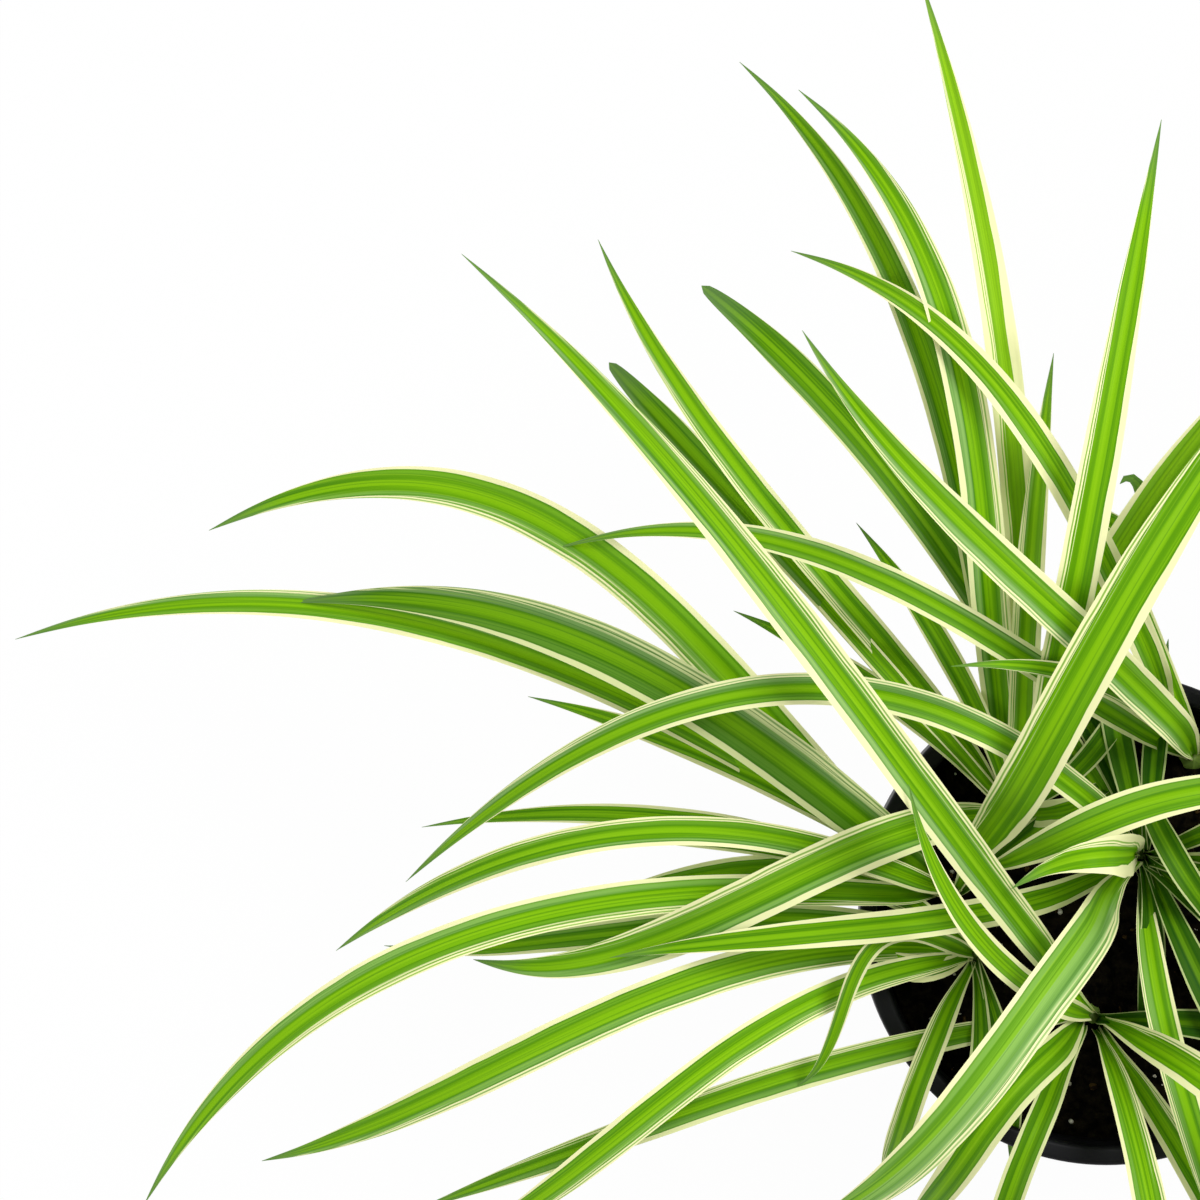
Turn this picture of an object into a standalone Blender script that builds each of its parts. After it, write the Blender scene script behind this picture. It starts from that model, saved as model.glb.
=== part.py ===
"""Variegated spider plant in a round black nursery pot.

Frame: metres, +Z up, origin at the middle of the pot's underside.
The pot, the soil, the crowns and each leaf are separate closed solids.
Every leaf is a thin gutter-shaped ribbon that rises from its crown, arches over and tapers to its tip.
The numbers below are millimetres, and MM turns them into metres.
"""
import math
from typing import NamedTuple

import bmesh
import bpy
import numpy as np
from mathutils import Vector

MM = 0.001

# --- pot -------------------------------------------------------------------------------------
RIM_RADIUS = 65.0            # outer edge of the rolled rim
POT_HEIGHT = 105.0
BASE_RADIUS = 47.0           # outer edge of the underside
NECK_RADIUS = 61.5           # outer wall just under the rim
WALL = 1.6
FLOOR_THICKNESS = 2.2
RIM_SKIRT = 11.0             # height of the turned-down rim
RIM_ROUND = 1.4
POT_SIDES = 56
DRAIN_HOLES = 6
DRAIN_RADIUS = 4.5
DRAIN_CIRCLE = 33.0
DRAIN_TURN = 4.0             # degrees that the ring of holes is turned by

# --- soil and crowns -------------------------------------------------------------------------
SOIL_TOP = 91.0              # at the pot wall
SOIL_MOUND = 2.5             # how much higher the middle is
GAP = 0.35                   # clearance between touching pieces
CROWN_TOP = 105.0
CROWN_SLOPE = 0.9            # fall of the crown's shoulder for each millimetre outwards
CROWN_DEPTH = 7.0            # how far the crown sits in the soil
CROWN_SIDES = 20
RING_START = 2.0             # the innermost leaf base's distance from the crown's axis
RING_STEP = 0.85             # how much farther out each next leaf base is
BASE_LIFT = 1.2              # a leaf base's height over the crown's shoulder

# --- leaves ----------------------------------------------------------------------------------
LEAF_THICKNESS = 0.7
BASE_WIDTH = 3.4             # a leaf's width where it leaves the crown
FULL_WIDTH_AT = 0.38         # part of the leaf's length where it has its full width
GUTTER = 0.13                # depth of the leaf's channel as a part of its width
RISE_POWER = 2.7             # higher makes a leaf leave its crown more steeply
STATIONS = 17                # cross-sections of a leaf
CURVE_POINTS = 400           # points that a leaf's plan curve is measured with
STATION_POWER = 1.25         # over 1 packs the cross-sections towards the base
TAPER_POWER = 1.6
BLUNT_POWER = 7.0

# --- settling: leaves that cross are moved up or down until they clear each other -------------
SETTLE_POINTS = 49
SETTLE_ROUNDS = 260
SETTLE_GAP = 2.6             # height between the midribs of two leaves where they cross
PLAN_MARGIN = 2.0            # leaves this close in plan count as crossing
SETTLE_SPREAD = 9.0          # how far along a leaf a push is spread
STEEP_GAP = 0.7              # more height where the leaves are steep, for each unit of their slopes
ROOT_GAP = 1.0               # the same at the bases of two leaves of one crown
ROOT_GAP_GROWTH = 0.12       # how much it grows with each millimetre outwards
ROOT_ZONE = 14.0             # nearer than this, leaves of one crown only meet if they head the same way
SAME_WAY = 0.35              # cosine between such headings
STIFF_ZONE = 20.0            # a leaf moves freely only beyond this distance from its base
RIM_CLEARANCE = 4.0
RIM_ZONE_OUT = 4.0           # the rim's clearance holds this far outside its edge
RIM_ZONE_IN = 10.0           # and this far inside it
SOIL_CLEARANCE = 5.0
CROWN_CLEARANCE = 3.0
LOWEST_LEAF = 8.0

# --- colours (linear) ------------------------------------------------------------------------
POT_COLOUR = (0.012, 0.012, 0.013, 1.0)
SOIL_COLOUR = (0.020, 0.015, 0.011, 1.0)
CROWN_COLOUR = (0.62, 0.66, 0.36, 1.0)
LEAF_COLOUR = (0.16, 0.36, 0.03, 1.0)


class Leaf(NamedTuple):
    """One leaf. A higher layer lies over a lower one where two leaves cross."""
    layer: int
    width: float
    apex: float              # height of the arch over the floor
    crest: float             # part of the leaf's reach where the arch is highest
    tip: float               # height of the tip over the floor
    heading: float           # degrees from +X, from the crown to the tip
    reach: float             # straight distance from the crown to the tip, seen from above
    bow: float = 0.0         # how far the middle lies to the left of the straight line
    lead: float = 0.0        # bends the half near the crown to the left and the other half to the right
    roll: float = 0.0        # degrees of sideways tilt at the middle
    blunt: bool = False      # a rounded end in place of a long point


# Each crown has its plan place and its leaves.
CROWNS = {
    "left": ((-40, 6), (
        Leaf(30, 14.5, 198, 0.50, 172, 60, 170, bow=8),
        Leaf(31, 9.5, 165, 0.45, 128, 17, 100, bow=12),
        Leaf(9, 12, 154, 0.42, 92, 156, 190, bow=-21, lead=8),
        Leaf(8, 8, 146, 0.45, 86, 154, 220, bow=-36, lead=30),
        Leaf(10, 7.5, 144, 0.40, 60, 186, 166, bow=-27),
        Leaf(7, 9.5, 126, 0.35, 42, 202, 236, bow=-39, lead=8),
        Leaf(6, 8.5, 138, 0.40, 70, 165, 260, bow=-33, lead=8),
    )),
    "back_left": ((-24, 27), (
        Leaf(24, 12, 192, 0.55, 172, 80, 180, bow=2),
        Leaf(14, 10, 166, 0.50, 124, 107, 198, bow=-14, lead=14),
        Leaf(12, 8.5, 162, 0.50, 130, 97, 220, bow=-7),
        Leaf(17, 12, 150, 0.40, 96, 195, 148, bow=1, lead=-16),
        Leaf(13, 9.5, 168, 0.55, 144, 62, 142, bow=14, lead=3),
        Leaf(15, 7.5, 156, 0.70, 148, 87, 120, bow=4),
        Leaf(25, 7, 142, 0.80, 140, 18, 22),
        Leaf(7, 7.5, 154, 0.50, 112, 126, 187, bow=6, lead=-6),
        Leaf(6, 8.5, 152, 0.50, 98, 110, 212, bow=-15, lead=8),
        Leaf(4, 7, 146, 0.50, 116, 132, 160, blunt=True),
    )),
    "front_left": ((-34, -10), (
        Leaf(18, 5.5, 144, 0.50, 110, 214, 58, bow=-18, lead=-18, roll=40),
        Leaf(12, 8.5, 138, 0.42, 72, 210, 165, bow=-12, lead=-12),
        Leaf(9, 7, 122, 0.50, 70, 250, 67, bow=-5),
        Leaf(6, 10, 130, 0.42, 60, 197, 200, bow=-15, lead=-14),
        Leaf(3, 7.5, 122, 0.45, 80, 176, 115, bow=-20, lead=-6),
        Leaf(2, 7.5, 118, 0.45, 60, 180, 158, bow=-9, lead=-10),
    )),
    "front": ((-3, -26), (
        Leaf(35, 6.5, 178, 0.80, 178, 130, 84, bow=11),
        Leaf(33, 10.5, 196, 0.48, 168, 130, 257, bow=-4, lead=6),
        Leaf(26, 11, 166, 0.42, 86, 319, 141, bow=6, lead=8),
        Leaf(15, 9.5, 150, 0.45, 90, 229, 77, bow=-8, lead=-4),
        Leaf(10, 7.5, 140, 0.45, 80, 249, 80, bow=-8),
        Leaf(8, 9, 142, 0.45, 62, 274, 150, bow=9),
        Leaf(7, 9.5, 134, 0.42, 70, 299, 167, bow=3),
        Leaf(5, 8, 128, 0.42, 66, 197, 188, bow=-10, lead=-2),
    )),
    "middle": ((10, 16), (
        Leaf(37, 12.5, 182, 0.45, 120, 226, 134, bow=1, lead=-9),
        Leaf(38, 9.5, 158, 0.80, 156, 187, 40, bow=-6),
        Leaf(32, 8, 146, 0.50, 112, 190, 143, bow=3, lead=5),
        Leaf(28, 8, 180, 0.42, 95, 182, 195, bow=-49, lead=-4),
        Leaf(22, 10, 172, 0.45, 104, 3, 180, bow=-5),
        Leaf(9, 8, 122, 0.40, 76, 282, 120, bow=-5, lead=-4),
        Leaf(5, 8, 144, 0.50, 120, 128, 190, bow=-6, lead=5, blunt=True),
    )),
    "back_right": ((24, 42), (
        Leaf(29, 10, 190, 0.50, 160, 134, 153, bow=6, lead=-4),
        Leaf(27, 6.5, 172, 0.85, 171, 160, 74, bow=-9),
        Leaf(22, 7.5, 178, 0.42, 128, 162, 178, bow=-17, lead=14),
        Leaf(20, 8, 178, 0.45, 118, 129, 171, bow=-13, lead=12),
        Leaf(19, 10, 180, 0.48, 118, 45, 184, bow=11),
        Leaf(12, 9.5, 168, 0.50, 110, 76, 177, bow=-4),
        Leaf(5, 9, 152, 0.45, 84, 8, 192, bow=24),
    )),
    "right": ((36, -10), (
        Leaf(24, 11, 178, 0.48, 112, 25, 188, bow=8),
        Leaf(18, 9, 164, 0.42, 72, 328, 188, bow=20),
        Leaf(14, 8.5, 150, 0.42, 60, 354, 196, bow=25),
        Leaf(11, 9.5, 148, 0.42, 58, 286, 180, bow=14),
        Leaf(4, 8, 138, 0.42, 50, 310, 192, bow=9),
        Leaf(3, 8, 132, 0.42, 64, 339, 165, bow=7),
    )),
}


# --- small helpers ---------------------------------------------------------------------------
def clear_scene():
    """Remove every object that the file starts with."""
    for obj in list(bpy.data.objects):
        bpy.data.objects.remove(obj)


def principled(name, colour, roughness):
    """Return a plain Principled material."""
    material = bpy.data.materials.new(name)
    material.use_nodes = True
    shader = material.node_tree.nodes["Principled BSDF"]
    shader.inputs["Base Color"].default_value = colour
    shader.inputs["Roughness"].default_value = roughness
    shader.inputs["Metallic"].default_value = 0.0
    material.diffuse_color = colour
    return material


def add_object(name, vertices, faces, material, smooth_angle=None):
    """Make a mesh object from points in millimetres, with its faces pointing out."""
    mesh = bpy.data.meshes.new(name)
    mesh.from_pydata([tuple(MM * c for c in v) for v in vertices], [], faces)
    bm = bmesh.new()
    bm.from_mesh(mesh)
    bmesh.ops.recalc_face_normals(bm, faces=bm.faces)
    bm.to_mesh(mesh)
    bm.free()
    mesh.materials.append(material)
    if smooth_angle is not None:
        mesh.shade_smooth()
        mesh.set_sharp_from_angle(angle=math.radians(smooth_angle))
    obj = bpy.data.objects.new(name, mesh)
    bpy.context.collection.objects.link(obj)
    return obj


def turned(name, profile, sides, material, centre=(0.0, 0.0)):
    """Turn a closed profile of (radius, height) points about an upright axis.

    A point of radius 0 becomes one vertex on the axis.
    """
    vertices, rings = [], []
    for radius, height in profile:
        count = 1 if radius == 0 else sides
        ring = []
        for side in range(count):
            angle = 2 * math.pi * side / sides
            ring.append(len(vertices))
            vertices.append((centre[0] + radius * math.cos(angle), centre[1] + radius * math.sin(angle), height))
        rings.append(ring)
    faces = []
    for lower, upper in zip(rings, rings[1:] + rings[:1]):
        if len(lower) == 1 and len(upper) == 1:
            continue
        for side in range(sides):
            after = (side + 1) % sides
            corners = [lower[side % len(lower)], lower[after % len(lower)]]
            corners += [upper[after % len(upper)], upper[side % len(upper)]]
            faces.append(list(dict.fromkeys(corners)))
    return add_object(name, vertices, faces, material, smooth_angle=40)


def cut(target, cutter, name):
    """Cut one object out of another with a Boolean, and keep the cutter out of sight."""
    cutter.hide_render = True
    cutter.display_type = "WIRE"
    modifier = target.modifiers.new(name, "BOOLEAN")
    modifier.operation = "DIFFERENCE"
    modifier.object = cutter


# --- pot, soil and crowns --------------------------------------------------------------------
def wall_radius(height):
    """Radius of the pot's outer wall at a height."""
    return BASE_RADIUS + (NECK_RADIUS - BASE_RADIUS) * height / (POT_HEIGHT - RIM_SKIRT)


def rim_arc(centre_radius, centre_height, start, end, steps=4):
    """Points of a quarter round on the rim, in degrees from the outward direction."""
    points = []
    for step in range(steps + 1):
        angle = math.radians(start + (end - start) * step / steps)
        points.append((centre_radius + RIM_ROUND * math.cos(angle), centre_height + RIM_ROUND * math.sin(angle)))
    return points


def build_pot(material):
    """Tapered pot with a turned-down rim, a flat floor and drain holes."""
    skirt_foot = POT_HEIGHT - RIM_SKIRT
    inner_neck = NECK_RADIUS - WALL
    round_height = POT_HEIGHT - RIM_ROUND
    profile = [(0, 0), (BASE_RADIUS - 1.5, 0), (BASE_RADIUS, 1.5), (wall_radius(skirt_foot), skirt_foot)]
    profile += [(RIM_RADIUS - 0.6, skirt_foot - 0.6), (RIM_RADIUS, skirt_foot + 0.4)]
    profile += rim_arc(RIM_RADIUS - RIM_ROUND, round_height, 0, 90)
    profile += rim_arc(inner_neck + RIM_ROUND, round_height, 90, 180)
    profile += [(inner_neck, skirt_foot), (wall_radius(FLOOR_THICKNESS) - WALL, FLOOR_THICKNESS)]
    profile += [(0, FLOOR_THICKNESS)]
    pot = turned("pot", profile, POT_SIDES, material)
    for hole in range(DRAIN_HOLES):
        angle = 2 * math.pi * (hole + 0.5) / DRAIN_HOLES + math.radians(DRAIN_TURN)
        centre = (DRAIN_CIRCLE * math.cos(angle), DRAIN_CIRCLE * math.sin(angle))
        bore = [(0, -4), (DRAIN_RADIUS, -4), (DRAIN_RADIUS, FLOOR_THICKNESS + 4), (0, FLOOR_THICKNESS + 4)]
        cutter = turned(f"drain_cutter_{hole + 1}", bore, 16, material, centre)
        cut(pot, cutter, f"drain_{hole + 1}")


def crown_radius(leaf_count):
    """A crown is as wide as the rings of leaf bases on it."""
    return RING_START + RING_STEP * (leaf_count - 1) + 1.4


def shoulder_height(radius):
    """Height of a crown's cone-shaped shoulder at a distance from its axis."""
    return CROWN_TOP - CROWN_SLOPE * radius


def crown_profile(leaf_count, grow=0.0):
    """Profile of a crown, or of its socket in the soil when grow is the clearance."""
    radius = crown_radius(leaf_count)
    foot = SOIL_TOP + SOIL_MOUND - CROWN_DEPTH
    profile = [(0, foot - grow), (0.62 * radius + grow, foot - grow), (0.92 * radius + grow, SOIL_TOP - 1)]
    profile += [(radius + grow, SOIL_TOP + 3), (radius + grow, shoulder_height(radius))]
    if grow == 0:
        profile += [(0.5 * radius, shoulder_height(0.5 * radius) + 0.3)]
    profile += [(0, CROWN_TOP)]
    return profile


def build_soil(material, crown_material):
    """Potting soil that fills the pot, with a socket for each crown."""
    bottom = FLOOR_THICKNESS + GAP
    bottom_radius = wall_radius(FLOOR_THICKNESS) - WALL - GAP
    top_radius = wall_radius(SOIL_TOP) - WALL - GAP
    profile = [(0, bottom), (bottom_radius, bottom), (top_radius, SOIL_TOP)]
    for step in (0.8, 0.55, 0.3):
        profile.append((step * top_radius, SOIL_TOP + SOIL_MOUND * (1 - step ** 2)))
    profile.append((0, SOIL_TOP + SOIL_MOUND))
    soil = turned("soil", profile, POT_SIDES, material)
    for name, (centre, leaves) in CROWNS.items():
        socket = crown_profile(len(leaves), GAP)
        cutter = turned(f"socket_cutter_{name}", socket, CROWN_SIDES, crown_material, centre)
        cut(soil, cutter, f"socket_{name}")


def build_crowns(material):
    """Short pale stems that the leaves grow from."""
    for name, (centre, leaves) in CROWNS.items():
        turned(f"crown_{name}", crown_profile(len(leaves)), CROWN_SIDES, material, centre)


# --- leaf paths ------------------------------------------------------------------------------
def plan_curve(centre, leaf, count):
    """Plan points of a leaf's midrib, from its crown's axis to its tip."""
    share = np.linspace(0.0, 1.0, count)
    forward = leaf.reach * share
    sideways = 4 * share * (1 - share) * (leaf.bow + leaf.lead * (1 - 2 * share))
    angle = math.radians(leaf.heading)
    x = centre[0] + forward * math.cos(angle) - sideways * math.sin(angle)
    y = centre[1] + forward * math.sin(angle) + sideways * math.cos(angle)
    return np.stack([x, y], axis=1)


def arch_heights(leaf, base_height, count):
    """Heights along a leaf: a steep rise to the crest, then a fall to the tip."""
    reach = np.linspace(0.0, 1.0, count)
    rising = leaf.apex - (leaf.apex - base_height) * np.clip(1 - reach / leaf.crest, 0, 1) ** RISE_POWER
    falling = leaf.apex - (leaf.apex - leaf.tip) * np.clip((reach - leaf.crest) / (1 - leaf.crest), 0, 1) ** 2
    return np.where(reach < leaf.crest, rising, falling)


def width_share(length_share, leaf):
    """A leaf's width as a part of its full width, from 0 at the base to 1 at the tip."""
    base = BASE_WIDTH / leaf.width
    growing = base + (1 - base) * (1 - np.clip(1 - length_share / FULL_WIDTH_AT, 0, 1) ** 2)
    power = BLUNT_POWER if leaf.blunt else TAPER_POWER
    tapering = 1 - np.clip((length_share - 0.5) / 0.5, 0, 1) ** power
    return growing * tapering


class Path:
    """A leaf's midrib: plan points, heights, and its width at each point."""

    def __init__(self, name, crown, centre, leaf, ring):
        self.name, self.crown, self.leaf = name, crown, leaf
        start = RING_START + RING_STEP * ring
        base_height = shoulder_height(start) + BASE_LIFT
        whole = plan_curve(centre, leaf, CURVE_POINTS)
        travelled = np.concatenate([[0.0], np.cumsum(np.hypot(*np.diff(whole, axis=0).T))])
        steps = np.linspace(start, travelled[-1], SETTLE_POINTS)
        self.plan = np.stack([np.interp(steps, travelled, whole[:, axis]) for axis in (0, 1)], axis=1)
        self.along = steps - start
        self.height = arch_heights(leaf, base_height, SETTLE_POINTS)
        self.from_crown = np.hypot(*(self.plan - np.array(centre, float)).T)
        self.half_width = 0.5 * leaf.width * width_share(self.along / self.along[-1], leaf)
        heading = np.gradient(self.plan, self.along, axis=0)
        self.heading = heading / np.hypot(*heading.T)[:, None]


def make_paths():
    """Lay out every leaf. The highest leaf of a crown has the innermost base."""
    paths = []
    for crown, (centre, leaves) in CROWNS.items():
        from_top = sorted((leaf.layer for leaf in leaves), reverse=True)
        for number, leaf in enumerate(leaves, start=1):
            paths.append(Path(f"leaf_{crown}_{number}", crown, centre, leaf, from_top.index(leaf.layer)))
    return paths


# --- settling --------------------------------------------------------------------------------
def crossing_points(paths):
    """Pairs of midrib points, lower leaf first, where the leaves overlap in plan."""
    pairs = []
    for first in range(len(paths)):
        for second in range(first + 1, len(paths)):
            lower, upper = first, second
            if paths[first].leaf.layer > paths[second].leaf.layer:
                lower, upper = second, first
            below, above = paths[lower], paths[upper]
            apart = below.plan[:, None] - above.plan[None]
            reach = below.half_width[:, None] + above.half_width[None] + PLAN_MARGIN
            close = np.hypot(apart[..., 0], apart[..., 1]) < reach
            if below.crown == above.crown:
                outer = np.maximum(below.from_crown[:, None], above.from_crown[None])
                same_way = below.heading @ above.heading.T > SAME_WAY
                close &= same_way | (outer > ROOT_ZONE)
            for i, j in zip(*np.nonzero(close)):
                pairs.append((lower, i, upper, j))
    return np.array(pairs).T


def wanted_gaps(paths, lower, i, upper, j):
    """Height that each crossing needs: less between leaves of one crown, close to their bases."""
    crowns = np.array([list(CROWNS).index(path.crown) for path in paths])
    away = np.array([path.along for path in paths])
    nearest = np.minimum(away[lower, i], away[upper, j])
    near_gap = np.minimum(ROOT_GAP + ROOT_GAP_GROWTH * nearest, SETTLE_GAP)
    return np.where(crowns[lower] == crowns[upper], near_gap, SETTLE_GAP)


def lowest_heights(paths):
    """The lowest height that the rim, the soil and the floor leave to each midrib point."""
    limits = []
    for path in paths:
        radius = np.hypot(*path.plan.T)
        limit = np.full(SETTLE_POINTS, LOWEST_LEAF)
        limit[radius < RIM_RADIUS + RIM_ZONE_OUT] = POT_HEIGHT + RIM_CLEARANCE
        limit[radius < RIM_RADIUS - RIM_ZONE_IN] = SOIL_TOP + SOIL_CLEARANCE
        for crown, (centre, leaves) in CROWNS.items():
            away = np.hypot(*(path.plan - np.array(centre, float)).T)
            over = away < crown_radius(len(leaves)) + path.half_width
            clearance = BASE_LIFT if crown == path.crown else CROWN_CLEARANCE
            shoulder = shoulder_height(np.maximum(away - path.half_width * (crown != path.crown), 0))
            limit[over] = np.maximum(limit, shoulder + clearance)[over]
        limits.append(limit)
    return np.array(limits)


def spreading(paths):
    """Matrices that spread a push along each leaf."""
    matrices = []
    for path in paths:
        gap = (path.along[:, None] - path.along[None]) / SETTLE_SPREAD
        kernel = np.exp(-0.5 * gap ** 2)
        matrices.append(kernel / kernel.sum(axis=1, keepdims=True))
    return np.array(matrices)


def settle(paths):
    """Push crossing leaves apart in height, a little at a time, until they are clear."""
    lower, i, upper, j = crossing_points(paths)
    plan = np.array([path.plan for path in paths])
    heading = np.array([path.heading for path in paths])
    along = np.array([path.along for path in paths])
    heights = np.array([path.height for path in paths])
    limits = lowest_heights(paths)
    kernels = spreading(paths)
    free = np.clip(along / STIFF_ZONE, 0, 1) ** 1.5
    wanted = wanted_gaps(paths, lower, i, upper, j)
    halfway = 0.5 * (plan[upper, j] - plan[lower, i])
    lower_step = (heading[lower, i] * halfway).sum(axis=1)
    upper_step = -(heading[upper, j] * halfway).sum(axis=1)
    for _ in range(SETTLE_ROUNDS):
        slopes = np.gradient(heights, axis=1) / np.gradient(along, axis=1)
        below = heights[lower, i] + slopes[lower, i] * lower_step
        above = heights[upper, j] + slopes[upper, j] * upper_step
        steepness = np.abs(slopes[lower, i]) + np.abs(slopes[upper, j])
        missing = np.maximum(wanted + STEEP_GAP * steepness - (above - below), 0)
        up = np.zeros_like(heights)
        down = np.zeros_like(heights)
        np.maximum.at(up, (upper, j), 0.5 * missing)
        np.maximum.at(down, (lower, i), 0.5 * missing)
        push = np.einsum("lij,lj->li", kernels, up - down) * free
        heights = heights + push
        short = np.maximum(limits - heights, 0)
        heights = np.maximum(heights + np.einsum("lij,lj->li", kernels, short) * free, limits)
    for path, height in zip(paths, heights):
        path.height = height


# --- leaf solids -----------------------------------------------------------------------------
def stations(path):
    """Cross-section places along a leaf: centre, sideways and upward directions, and width."""
    points = np.column_stack([path.plan, path.height])
    length = np.concatenate([[0.0], np.cumsum(np.linalg.norm(np.diff(points, axis=0), axis=1))])
    shares = np.linspace(0, 1, STATIONS) ** STATION_POWER
    centres = np.stack([np.interp(shares * length[-1], length, points[:, axis]) for axis in range(3)], axis=1)
    tangents = np.gradient(centres, shares, axis=0)
    widths = path.leaf.width * width_share(shares, path.leaf)
    rows = []
    for centre, tangent, width, share in zip(centres, tangents, widths, shares):
        forward = Vector(tangent).normalized()
        side = forward.cross(Vector((0, 0, 1))).normalized()
        up = side.cross(forward)
        roll = math.radians(path.leaf.roll) * math.sin(math.pi * share)
        rolled = side * math.cos(roll) + up * math.sin(roll)
        rows.append((Vector(centre), rolled, rolled.cross(forward), width))
    return rows


def build_leaf(path, material):
    """A thin closed ribbon with a shallow channel, sharp margins and a pointed tip."""
    rows = stations(path)
    vertices, faces = [], []
    for centre, side, up, width in rows[:-1]:
        share = width / path.leaf.width
        channel = GUTTER * width
        thickness = LEAF_THICKNESS * (0.4 + 0.6 * share)
        vertices.append(centre - side * (width / 2) + up * channel)
        vertices.append(centre)
        vertices.append(centre + side * (width / 2) + up * channel)
        vertices.append(centre - up * thickness)
    tip = len(vertices)
    vertices.append(rows[-1][0])
    for ring in range(0, tip - 4, 4):
        for corner in range(4):
            after = (corner + 1) % 4
            faces.append((ring + corner, ring + after, ring + 4 + after, ring + 4 + corner))
    faces += [(0, 3, 1), (1, 3, 2)]
    faces += [(tip - 4 + corner, tip - 4 + (corner + 1) % 4, tip) for corner in range(4)]
    add_object(path.name, [tuple(v) for v in vertices], faces, material, smooth_angle=60)


def main():
    """Build the whole plant."""
    clear_scene()
    pot_material = principled("pot_plastic", POT_COLOUR, 0.45)
    soil_material = principled("soil_mix", SOIL_COLOUR, 0.95)
    crown_material = principled("crown_tissue", CROWN_COLOUR, 0.55)
    leaf_material = principled("leaf_tissue", LEAF_COLOUR, 0.42)
    build_pot(pot_material)
    build_soil(soil_material, crown_material)
    build_crowns(crown_material)
    paths = make_paths()
    settle(paths)
    for path in paths:
        build_leaf(path, leaf_material)


main()
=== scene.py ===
import math
import random

import bmesh
import bpy
import numpy as np
from mathutils import Matrix, Vector


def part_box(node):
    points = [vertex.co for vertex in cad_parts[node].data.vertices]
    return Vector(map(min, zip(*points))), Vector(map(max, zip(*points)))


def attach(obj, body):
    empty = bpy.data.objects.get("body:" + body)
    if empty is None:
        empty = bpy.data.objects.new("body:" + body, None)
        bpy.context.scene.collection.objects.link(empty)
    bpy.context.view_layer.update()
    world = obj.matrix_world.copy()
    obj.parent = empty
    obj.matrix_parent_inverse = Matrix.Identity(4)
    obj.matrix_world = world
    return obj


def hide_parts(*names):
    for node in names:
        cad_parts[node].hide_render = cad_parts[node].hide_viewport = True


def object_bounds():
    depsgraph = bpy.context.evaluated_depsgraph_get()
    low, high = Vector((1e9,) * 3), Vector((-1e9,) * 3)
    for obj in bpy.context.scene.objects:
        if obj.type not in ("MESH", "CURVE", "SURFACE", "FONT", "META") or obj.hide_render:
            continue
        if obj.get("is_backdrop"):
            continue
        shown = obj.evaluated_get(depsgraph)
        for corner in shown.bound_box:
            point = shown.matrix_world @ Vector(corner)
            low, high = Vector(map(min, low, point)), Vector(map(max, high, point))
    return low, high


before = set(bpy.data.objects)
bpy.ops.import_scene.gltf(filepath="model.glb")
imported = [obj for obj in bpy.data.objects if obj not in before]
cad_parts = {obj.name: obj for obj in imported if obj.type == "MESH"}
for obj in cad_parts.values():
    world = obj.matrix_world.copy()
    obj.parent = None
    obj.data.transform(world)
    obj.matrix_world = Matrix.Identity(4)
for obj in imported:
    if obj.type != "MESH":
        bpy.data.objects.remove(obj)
CAD_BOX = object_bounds()

MM = 0.001
UP = Vector((0, 0, 1))

# --- view: the camera looks straight down, beside the pot, from high above it -----------------
CAMERA_HEIGHT = 1.5
CAMERA_OFFSET = (-0.1334, 0.0839)     # from the pot's axis, in metres
VIEW_WIDTH = 0.3158                   # width of the view at the height of the rim
SENSOR = 36.0

# --- leaves, in millimetres ---------------------------------------------------------------------
RING_STEP = 2.0                       # length between cross-sections
FEWEST_RINGS = 24
ACROSS = 15                           # points across the upper side
KEEL = 0.05                           # rounding of the channel's bottom, in half widths
DEEPER = 1.3                          # the channel's depth against the CAD leaf's
FOLD = 2.6                            # how much deeper the channel is where a leaf clasps its crown
FOLD_LENGTH = 13.0
FULLER = 0.10                         # how much wider a leaf is three quarters of the way along
LEAST_WIDTH = 0.12
FOOT_HEIGHT = 86.0                    # the leaf's foot, under the soil's surface
FOOT_OUT = 0.35                       # places of the foot and of the collar above it, as shares of
COLLAR_OUT = 0.78                     # the way out from the crown's axis to the leaf's base
FOOT_WIDTH = 0.7                      # the foot's width against the base's
POINTED = 0.85                        # the power that narrows a leaf over its last stretch
BLUNT = 0.38
RIBS = 9                              # fine ribs across a leaf
RIB_HEIGHT = 0.05
MID_THICKNESS = 0.55
EDGE_THICKNESS = 0.22
WAVE_HEIGHT = 0.30
WAVE_LENGTH = 34.0
WAVY_WIDTH = 6.0                      # narrower leaves have lower ribs and waves
STOUT_WIDTH = 3.0                     # narrower leaves are thinner
CROWN_CLEARANCE = 3.0                 # how far under its crown's top a visual-only leaf starts
SHARP_MARGIN = math.radians(120)      # least turn between the faces at a CAD leaf's margin
WELD = 1e-5                           # in metres
SMOOTH_ANGLE = math.radians(50)       # edges that turn more than this stay sharp

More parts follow.
